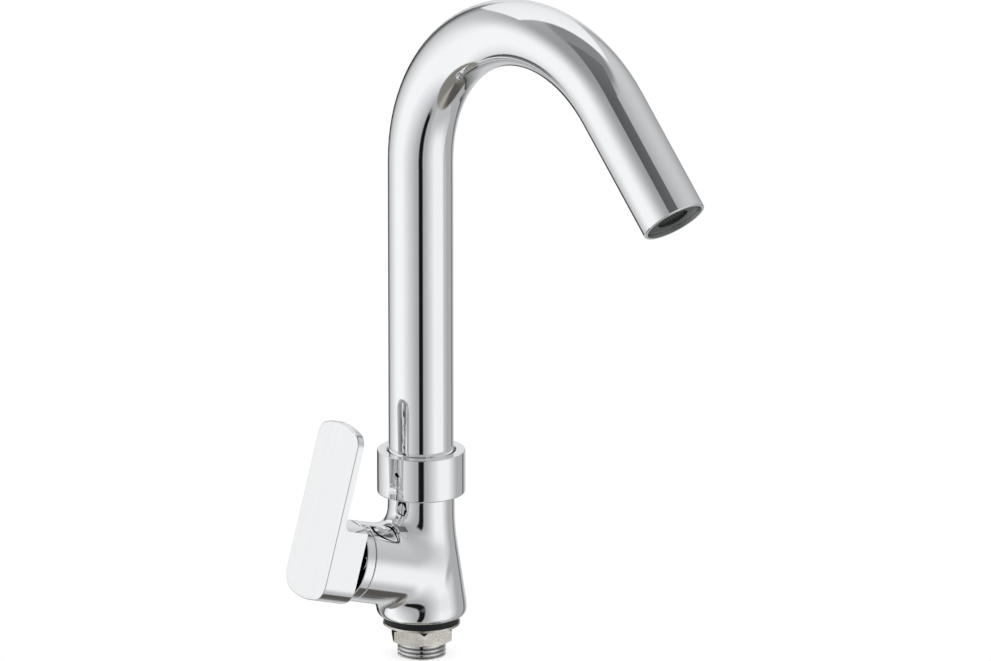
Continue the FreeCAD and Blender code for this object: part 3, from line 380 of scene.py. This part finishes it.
def addFloor():
    # a round sheet of pale paper under the shank
    mesh = bpy.data.meshes.new("paperFloor")
    corners = range(paper["corners"])
    turns = [2 * math.pi * k / paper["corners"] for k in corners]
    ring = [(paper["radius"] * math.cos(t), paper["radius"] * math.sin(t), 0) for t in turns]
    mesh.from_pydata(ring, [], [list(corners)])
    floor = bpy.data.objects.new("paperFloor", mesh)
    floor.location.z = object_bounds()[0].z - paper["below"]
    bpy.context.scene.collection.objects.link(floor)
    material = bpy.data.materials.new("palePaper")
    material.use_nodes = True
    tree = material.node_tree
    tree.nodes.clear()
    place = addNode(tree, "ShaderNodeTexCoord").outputs["Object"]
    length = addNode(tree, "ShaderNodeVectorMath", operation="LENGTH")
    wire(tree, place, length.inputs[0])
    fade = mapRange(tree, length.outputs["Value"], *paper["fade"], smooth=True)
    path = addNode(tree, "ShaderNodeLightPath")
    sheet = addNode(tree, "ShaderNodeBsdfDiffuse")
    sheet.inputs["Color"].default_value = (paper["albedo"],) * 3 + (1,)
    lift = addNode(tree, "ShaderNodeEmission")
    direct = mathNode(tree, "ADD", path.outputs["Is Camera Ray"], path.outputs["Is Glossy Ray"])
    direct = mathNode(tree, "ADD", direct, path.outputs["Is Transmission Ray"], clamp=True)
    wire(tree, mathNode(tree, "MULTIPLY", direct, paper["lift"]), lift.inputs["Strength"])
    both = addNode(tree, "ShaderNodeAddShader")
    wire(tree, sheet.outputs[0], both.inputs[0])
    wire(tree, lift.outputs[0], both.inputs[1])
    clear = addNode(tree, "ShaderNodeBsdfTransparent")
    mix = addNode(tree, "ShaderNodeMixShader")
    wire(tree, fade, mix.inputs["Fac"])
    wire(tree, both.outputs[0], mix.inputs[1])
    wire(tree, clear.outputs[0], mix.inputs[2])
    wire(tree, mix.outputs[0], addNode(tree, "ShaderNodeOutputMaterial").inputs["Surface"])
    mesh.materials.append(material)


lamps = {
    "aim": 0.12,  # height on the tap that they point at
    "distance": 1.4,
    "panels": [
        {"name": "keyPanel", "turn": -55, "tilt": 42, "size": 0.8, "watts": 5.0},
        {"name": "fillPanel", "turn": 60, "tilt": 25, "size": 0.8, "watts": 3.0},
    ],
}


def addLamps():
    for lamp in lamps["panels"]:
        data = bpy.data.lights.new(lamp["name"], "AREA")
        data.size = lamp["size"]
        data.energy = lamp["watts"]
        light = bpy.data.objects.new(lamp["name"], data)
        way = direction(lamp["turn"], lamp["tilt"])
        light.location = Vector((0, 0, lamps["aim"])) + way * lamps["distance"]
        light.rotation_mode = "QUATERNION"
        light.rotation_quaternion = way.to_track_quat("Z", "Y")
        light.visible_glossy = False
        bpy.context.scene.collection.objects.link(light)


# Shared surface effects

def newGroup(name, inputs, outputs):
    group = bpy.data.node_groups.new(name, "ShaderNodeTree")
    for title, kind, value in inputs:
        socket = group.interface.new_socket(name=title, in_out="INPUT", socket_type=kind)
        socket.default_value = value
    for title, kind in outputs:
        group.interface.new_socket(name=title, in_out="OUTPUT", socket_type=kind)
    start = group.nodes.new("NodeGroupInput")
    end = group.nodes.new("NodeGroupOutput")
    return group, start, end


hazeLook = {"detail": 4, "blotch": (0.42, 0.72), "speckScale": 40, "speckDetail": 2, "speck": (0.62, 0.72),
            "speckShare": 0.35}


def hazeGroup():
    # soft blotches and fine specks that change how sharp a reflection is
    group, start, end = newGroup(
        "hazeAndSpecks",
        [("Scale", "NodeSocketFloat", 30.0), ("Clean", "NodeSocketFloat", 0.03),
         ("Dull", "NodeSocketFloat", 0.08)],
        [("Roughness", "NodeSocketFloat"), ("Mask", "NodeSocketFloat")],
    )
    place = addNode(group, "ShaderNodeTexCoord").outputs["Object"]
    broad = addNode(group, "ShaderNodeTexNoise")
    broad.inputs["Detail"].default_value = hazeLook["detail"]
    wire(group, place, broad.inputs["Vector"])
    wire(group, start.outputs["Scale"], broad.inputs["Scale"])
    fine = addNode(group, "ShaderNodeTexNoise")
    fine.inputs["Detail"].default_value = hazeLook["speckDetail"]
    wire(group, place, fine.inputs["Vector"])
    fineScale = mathNode(group, "MULTIPLY", start.outputs["Scale"], hazeLook["speckScale"])
    wire(group, fineScale, fine.inputs["Scale"])
    blotch = mapRange(group, broad.outputs["Fac"], *hazeLook["blotch"], smooth=True)
    speck = mapRange(group, fine.outputs["Fac"], *hazeLook["speck"])
    mask = mathNode(group, "MULTIPLY_ADD", speck, hazeLook["speckShare"], blotch, clamp=True)
    spread = mathNode(group, "SUBTRACT", start.outputs["Dull"], start.outputs["Clean"])
    roughness = mathNode(group, "MULTIPLY_ADD", mask, spread, start.outputs["Clean"])
    wire(group, roughness, end.inputs["Roughness"])
    wire(group, mask, end.inputs["Mask"])
    return group


grainLook = {"detail": 5, "roughness": 0.65}


def grainGroup():
    # fine relief of round grains
    group, start, end = newGroup(
        "fineGrain",
        [("Scale", "NodeSocketFloat", 2000.0)],
        [("Height", "NodeSocketFloat")],
    )
    noise = addNode(group, "ShaderNodeTexNoise")
    noise.inputs["Detail"].default_value = grainLook["detail"]
    noise.inputs["Roughness"].default_value = grainLook["roughness"]
    wire(group, addNode(group, "ShaderNodeTexCoord").outputs["Object"], noise.inputs["Vector"])
    wire(group, start.outputs["Scale"], noise.inputs["Scale"])
    wire(group, noise.outputs["Fac"], end.inputs["Height"])
    return group


def axisGroup():
    # 0 to 1 between two distances from the tap's upright axis
    group, start, end = newGroup(
        "outFromAxis",
        [("First", "NodeSocketFloat", 0.009), ("Second", "NodeSocketFloat", 0.01)],
        [("Mask", "NodeSocketFloat")],
    )
    flat = addNode(group, "ShaderNodeVectorMath", operation="MULTIPLY")
    wire(group, addNode(group, "ShaderNodeTexCoord").outputs["Object"], flat.inputs[0])
    flat.inputs[1].default_value = (1, 1, 0)
    length = addNode(group, "ShaderNodeVectorMath", operation="LENGTH")
    wire(group, flat.outputs[0], length.inputs[0])
    mask = addNode(group, "ShaderNodeMapRange", interpolation_type="SMOOTHSTEP")
    wire(group, length.outputs["Value"], mask.inputs["Value"])
    wire(group, start.outputs["First"], mask.inputs["From Min"])
    wire(group, start.outputs["Second"], mask.inputs["From Max"])
    wire(group, mask.outputs["Result"], end.inputs["Mask"])
    return group


haze = hazeGroup()
grain = grainGroup()
outFromAxis = axisGroup()


def newMaterial(name):
    material = bpy.data.materials.new(name)
    material.use_nodes = True
    tree = material.node_tree
    tree.nodes.clear()
    shader = addNode(tree, "ShaderNodeBsdfPrincipled")
    wire(tree, shader.outputs[0], addNode(tree, "ShaderNodeOutputMaterial").inputs["Surface"])
    return material, tree, shader


def addHaze(tree, shader, scale, clean, dull):
    group = addNode(tree, "ShaderNodeGroup", node_tree=haze)
    group.inputs["Scale"].default_value = scale
    group.inputs["Clean"].default_value = clean
    group.inputs["Dull"].default_value = dull
    wire(tree, group.outputs["Roughness"], shader.inputs["Roughness"])
    return group.outputs["Mask"]


def addGrain(tree, shader, scale, strength, distance):
    group = addNode(tree, "ShaderNodeGroup", node_tree=grain)
    group.inputs["Scale"].default_value = scale
    bump = addNode(tree, "ShaderNodeBump")
    bump.inputs["Strength"].default_value = strength
    bump.inputs["Distance"].default_value = distance
    wire(tree, group.outputs["Height"], bump.inputs["Height"])
    wire(tree, bump.outputs["Normal"], shader.inputs["Normal"])
    return group.outputs["Height"]


def axisMask(tree, first, second):
    group = addNode(tree, "ShaderNodeGroup", node_tree=outFromAxis)
    group.inputs["First"].default_value = first
    group.inputs["Second"].default_value = second
    return group.outputs["Mask"]


# Body: one smooth casting, where the side branch flows into the flared upright. Sizes are in
# millimetres, and heights are above the deck.
body = {
    "footFrom": 2.6, "foot": 19.5, "footRound": 3.4,  # underside, radius and rounded edge of the foot
    "hip": 8.0, "hipSpread": 1.75,  # where the foot bends into the cone
    "neckFrom": 43.0, "neckSpread": 6.5, "neck": 14.4,  # where the cone bends into the neck, its radius
    "top": 58.35,
    "branchHeight": 22.8, "branchTilt": 15.5, "branchEnd": 35.1,
    "branchRoot": 16.9, "branchTaper": 12.0, "branch": 17.3,  # radius grows from the root over the taper
    "flow": 9.0, "spread": 0.7, "frontShare": 0.35,  # how widely the two melt together
    "centre": (-8.0, 0.0, 25.0), "reach": 75.0, "fineness": 6, "halvings": 40,  # the ball blown up
    "skin": 0.15, "slack": 0.01,  # how near to the casting's surface a face is part of it
    "crease": 35.0,  # degrees
    "weld": 0.001, "cut": 0.0001,  # distances at which points are one
}


def flaredRadius(z):
    # radius of the upright at a height, in millimetres
    slope = (body["neck"] - body["foot"]) / (body["neckFrom"] - body["hip"])
    cone = body["foot"] + (z - body["hip"]) * slope
    radius = numpy.clip(cone, body["neck"], body["foot"])
    bends = ((body["hip"], body["hipSpread"], slope), (body["neckFrom"], body["neckSpread"], -slope))
    for place, spread, bend in bends:
        into = numpy.clip(spread - numpy.abs(z - place), 0, None)
        radius = radius + bend * into * into / (4 * spread)
    low = numpy.clip((body["footFrom"] + body["footRound"] - z) / body["footRound"], 0, 1)
    return radius - body["footRound"] * (1 - numpy.sqrt(1 - low * low))


def branchPlace(points):
    # distance along the branch, away from its axis, and the way from the axis
    tilt = math.radians(body["branchTilt"])
    axis = numpy.array((-math.cos(tilt), 0, math.sin(tilt)))
    offset = points - numpy.array((0, 0, body["branchHeight"]))
    along = offset @ axis
    outward = offset - along[:, None] * axis
    away = numpy.linalg.norm(outward, axis=1)
    return along, away, outward / numpy.maximum(away, 1e-6)[:, None]


def outsideBody(points, flow):
    # above zero outside the casting, below zero inside
    radius = numpy.hypot(points[:, 0], points[:, 1])
    upright = radius - flaredRadius(points[:, 2])
    along, away, outward = branchPlace(points)
    share = numpy.clip(along / body["branchTaper"], 0, 1)
    branch = away - (body["branchRoot"] + (body["branch"] - body["branchRoot"]) * share)
    branch = numpy.where(along < 0, numpy.hypot(branch.clip(0), along * body["spread"]), branch)
    if flow == 0:
        return numpy.minimum(upright, branch)
    # the two melt together less where they face the same way
    alike = (points[:, :2] * outward[:, :2]).sum(axis=1) / numpy.maximum(radius, 1e-6)
    flow = flow * numpy.clip(body["frontShare"] + (1 - body["frontShare"]) * (1 - alike), 0, 1)
    melt = numpy.clip(flow - numpy.abs(upright - branch), 0, None) / flow
    return numpy.minimum(upright, branch) - melt * melt * flow / 4


def castSkin():
    # a fine ball blown up until it meets the casting's surface, cut off at the three ends
    skin = bmesh.new()
    bmesh.ops.create_icosphere(skin, subdivisions=body["fineness"], radius=1)
    ways = numpy.array([v.co[:] for v in skin.verts])
    ways /= numpy.linalg.norm(ways, axis=1)[:, None]
    centre = numpy.array(body["centre"])
    near, far = numpy.zeros(len(ways)), numpy.full(len(ways), body["reach"])
    for step in range(body["halvings"]):
        middle = (near + far) / 2
        outside = outsideBody(centre + ways * middle[:, None], body["flow"]) > 0
        far = numpy.where(outside, middle, far)
        near = numpy.where(outside, near, middle)
    for vertex, place in zip(skin.verts, centre + ways * near[:, None]):
        vertex.co = Vector(place) * millimetre
    tilt = math.radians(body["branchTilt"])
    axis = Vector((-math.cos(tilt), 0, math.sin(tilt)))
    upward = Vector((0, 0, 1))
    end = upward * body["branchHeight"] + axis * body["branchEnd"]
    for place, normal in ((upward * body["footFrom"], -upward), (upward * body["top"], upward), (end, axis)):
        bmesh.ops.bisect_plane(skin, geom=skin.verts[:] + skin.edges[:] + skin.faces[:], clear_outer=True,
                               dist=body["cut"] * millimetre, plane_co=place * millimetre, plane_no=normal)
    return skin


def bodyCasting():
    # the bores, seats and thread as they are, inside the flowing skin
    whole = bmesh.new()
    whole.from_mesh(nodes["tap_body"].data)
    middles = numpy.array([f.calc_center_median()[:] for f in whole.faces]) / millimetre
    along, away, outward = branchPlace(middles)
    old = outsideBody(middles, 0) > -body["skin"]
    old &= (middles[:, 2] > body["footFrom"] + body["slack"]) & (middles[:, 2] < body["top"])
    old &= ~((along > body["branchEnd"]) & (away < body["branch"] + body["slack"]))
    bmesh.ops.delete(whole, geom=[f for f, gone in zip(whole.faces[:], old) if gone], context="FACES")
    kept = bpy.data.meshes.new("castingInside")
    whole.to_mesh(kept)
    whole.free()
    skin = castSkin()
    skin.from_mesh(kept)
    bmesh.ops.remove_doubles(skin, verts=skin.verts[:], dist=body["weld"] * millimetre)
    casting = bpy.data.meshes.new("bodyCasting")
    skin.to_mesh(casting)
    skin.free()
    bpy.data.meshes.remove(kept)
    casting.shade_smooth()
    casting.set_sharp_from_angle(angle=math.radians(body["crease"]))
    piece = bpy.data.objects.new("bodyCasting", casting)
    bpy.context.scene.collection.objects.link(piece)
    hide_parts("tap_body")
    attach(piece, "base")
    return piece


# Finishes

chrome = {"colour": (0.955, 0.96, 0.965), "hazy": 0.985, "scale": 18.0, "clean": 0.018, "dull": 0.035}


def polishedChrome():
    material, tree, shader = newMaterial("polishedChrome")
    shader.inputs["Metallic"].default_value = 1
    mask = addHaze(tree, shader, chrome["scale"], chrome["clean"], chrome["dull"])
    bright = chrome["colour"]
    soft = tuple(c * chrome["hazy"] for c in bright)
    wire(tree, mixColour(tree, mask, bright, soft), shader.inputs["Base Color"])
    return material


lever = {
    "tilt": 15.5,  # degrees that the plate leans back
    "front": (0.93, 0.985),  # how squarely a face looks to the front before it is satin
    "colour": (0.95, 0.955, 0.96), "polish": 0.022,
    "satin": (0.98, 0.985, 0.99), "streak": 0.95,  # the satin's lighter lines and the share of the darker
    "scatter": 0.62,  # share of the satin's light that goes in all directions
    "lines": 900.0, "lineDetail": 6, "stretch": 0.02, "contrast": (0.3, 0.7),
    "roughness": (0.2, 0.27),
    "relief": 0.25, "depth": 0.00002,
}


def leverChrome():
    # polished sides round a satin front that is brushed lengthwise
    material, tree, shader = newMaterial("leverChrome")
    tilt = math.radians(lever["tilt"])
    coords = addNode(tree, "ShaderNodeTexCoord")
    front = dot(tree, coords.outputs["Normal"], (-math.cos(tilt), 0, math.sin(tilt)))
    face = mapRange(tree, front, *lever["front"], smooth=True)
    wire(tree, mathNode(tree, "MULTIPLY_ADD", face, -lever["scatter"], 1), shader.inputs["Metallic"])
    along = dot(tree, coords.outputs["Object"], (math.sin(tilt), 0, math.cos(tilt)))
    across = dot(tree, coords.outputs["Object"], (0, 1, 0))
    place = addNode(tree, "ShaderNodeCombineXYZ")
    wire(tree, mathNode(tree, "MULTIPLY", along, lever["stretch"]), place.inputs["X"])
    wire(tree, across, place.inputs["Y"])
    lines = addNode(tree, "ShaderNodeTexNoise")
    lines.inputs["Scale"].default_value = lever["lines"]
    lines.inputs["Detail"].default_value = lever["lineDetail"]
    wire(tree, place.outputs[0], lines.inputs["Vector"])
    rough = mapRange(tree, lines.outputs["Fac"], *lever["contrast"], *lever["roughness"])
    extra = mathNode(tree, "SUBTRACT", rough, lever["polish"])
    wire(tree, mathNode(tree, "MULTIPLY_ADD", face, extra, lever["polish"]), shader.inputs["Roughness"])
    streak = mapRange(tree, lines.outputs["Fac"], *lever["contrast"])
    satin = mixColour(tree, streak, tuple(c * lever["streak"] for c in lever["satin"]), lever["satin"])
    wire(tree, mixColour(tree, face, lever["colour"], satin), shader.inputs["Base Color"])
    bump = addNode(tree, "ShaderNodeBump")
    bump.inputs["Strength"].default_value = lever["relief"]
    bump.inputs["Distance"].default_value = lever["depth"]
    wire(tree, mathNode(tree, "MULTIPLY", lines.outputs["Fac"], face), bump.inputs["Height"])
    wire(tree, bump.outputs["Normal"], shader.inputs["Normal"])
    return material


def plainMetal(name, settings):
    material, tree, shader = newMaterial(name)
    shader.inputs["Metallic"].default_value = 1
    mask = addHaze(tree, shader, settings["scale"], settings["clean"], settings["dull"])
    height = addGrain(tree, shader, settings["grain"], settings["relief"], settings["depth"])
    spots = mapRange(tree, height, *metalSpots)
    colour = mixColour(tree, spots, settings["dark"], settings["light"])
    hazeAndPaintedShade = mixColour(tree, mask, colour, settings["light"])
    # painted shade in the thread's grooves: the colour goes darker towards the bottom of each groove
    if "groove" in settings:
        hazeAndPaintedShade = mixColour(tree, axisMask(tree, *settings["groove"]), settings["shadow"], hazeAndPaintedShade)
    # painted shade on the nut's top chamfer, where it faces a little upwards within those distances
    if "chamfer" in settings:
        normal = addNode(tree, "ShaderNodeTexCoord").outputs["Normal"]
        upward = mapRange(tree, dot(tree, normal, (0, 0, 1)), *settings["slope"])
        edge = mathNode(tree, "MULTIPLY", axisMask(tree, *settings["chamfer"]), upward)
        hazeAndPaintedShade = mixColour(tree, edge, hazeAndPaintedShade, settings["shadow"])
    wire(tree, hazeAndPaintedShade, shader.inputs["Base Color"])
    return material


def plainPlastic(name, settings):
    material, tree, shader = newMaterial(name)
    mask = addHaze(tree, shader, settings["scale"], settings["clean"], settings["dull"])
    addGrain(tree, shader, settings["grain"], settings["relief"], settings["depth"])
    wire(tree, mixColour(tree, mask, settings["dark"], settings["light"]), shader.inputs["Base Color"])
    shader.inputs["Specular IOR Level"].default_value = settings["shine"]
    return material


metalSpots = (0.35, 0.65)  # heights of the grain that are dark and light
# Thread grooves: distances from the axis between which a thread goes from painted shade at its bottom to its
# plain colour at its crest.
# Nut's top chamfer: distances within which its top edge gets painted shade, slope: how far it has to face
# up.
metals = {
    "shankChrome": {"scale": 60, "clean": 0.03, "dull": 0.07, "grain": 1500, "relief": 0.1, "depth": 0.00002,
                    "dark": (0.66, 0.655, 0.65), "light": (0.8, 0.795, 0.79),
                    "groove": (0.0093, 0.0101), "shadow": (0.15, 0.15, 0.15)},
    "blastedNickel": {"scale": 120, "clean": 0.14, "dull": 0.24, "grain": 2600, "relief": 0.6,
                      "depth": 0.0001, "dark": (0.36, 0.335, 0.30), "light": (0.84, 0.80, 0.73),
                      "chamfer": (0.0150, 0.0146), "slope": (0.1, 0.25), "shadow": (0.09, 0.075, 0.06)},
    "turnedBrass": {"scale": 80, "clean": 0.16, "dull": 0.3, "grain": 1800, "relief": 0.2, "depth": 0.00003,
                    "dark": (0.66, 0.48, 0.22), "light": (0.82, 0.66, 0.36)},
    "plainSteel": {"scale": 80, "clean": 0.2, "dull": 0.34, "grain": 1800, "relief": 0.2, "depth": 0.00003,
                   "dark": (0.5, 0.5, 0.5), "light": (0.68, 0.68, 0.68)},
}
plastics = {
    "blackRubber": {"scale": 90, "clean": 0.42, "dull": 0.6, "grain": 2400, "relief": 0.35, "depth": 0.00005,
                    "shine": 0.2, "dark": (0.012, 0.012, 0.013), "light": (0.03, 0.03, 0.032)},
    # The slip rings are white acetal. This near-black colour is painted shade, standing in for the shade in
    # the narrow gap where they show.
    "acetalInPaintedShade": {"scale": 50, "clean": 0.32, "dull": 0.45, "grain": 1500, "relief": 0.15, "depth": 0.00002,
                   "shine": 0.5, "dark": (0.045, 0.045, 0.047), "light": (0.065, 0.065, 0.067)},
    "discCeramic": {"scale": 50, "clean": 0.12, "dull": 0.2, "grain": 3000, "relief": 0.05, "depth": 0.00001,
                    "shine": 0.5, "dark": (0.84, 0.83, 0.79), "light": (0.9, 0.89, 0.85)},
    "aeratorPlastic": {"scale": 60, "clean": 0.34, "dull": 0.46, "grain": 2000, "relief": 0.2,
                       "depth": 0.00003, "shine": 0.5, "dark": (0.035, 0.036, 0.037),
                       "light": (0.06, 0.061, 0.063)},
    "greyPlastic": {"scale": 60, "clean": 0.3, "dull": 0.45, "grain": 2000, "relief": 0.2, "depth": 0.00003,
                    "shine": 0.5, "dark": (0.5, 0.51, 0.52), "light": (0.56, 0.57, 0.58)},
}

finishes = {
    "polishedChrome": ["tap_body", "union_collar", "cover_ring", "spout_tube"],
    "leverChrome": ["lever_handle"],
    "shankChrome": ["inlet_shank"],
    "blastedNickel": ["back_nut", "deck_washer"],
    "turnedBrass": ["spout_spigot", "outlet_bush", "headwork", "spindle"],
    "plainSteel": ["grub_screw"],
    "blackRubber": ["deck_gasket", "shank_seal", "spout_ring_lower", "spout_ring_upper", "seat_washer",
                    "spindle_ring", "aerator_washer"],
    # slip rings: acetal, coloured near-black as painted shade in place of their white
    "acetalInPaintedShade": ["slip_ring_lower", "slip_ring_upper"],
    "discCeramic": ["fixed_disc", "turning_disc"],
    "aeratorPlastic": ["aerator_shell", "outlet_screen", "jet_former"],
    "greyPlastic": ["grub_plug"],
}


def paint():
    made = {"polishedChrome": polishedChrome(), "leverChrome": leverChrome()}
    made.update({name: plainMetal(name, settings) for name, settings in metals.items()})
    made.update({name: plainPlastic(name, settings) for name, settings in plastics.items()})
    for finish, names in finishes.items():
        for name in names:
            mesh = nodes[name].data
            mesh.materials.clear()
            mesh.materials.append(made[finish])
            mesh.shade_smooth()
    return made


addCamera()
addWorld()
addFloor()
addLamps()
print("studio ready")
materials = paint()
casting = bodyCasting()
casting.data.materials.append(materials["polishedChrome"])
print("finishes on:", len(materials))

bpy.context.scene.view_settings.view_transform = "Standard"
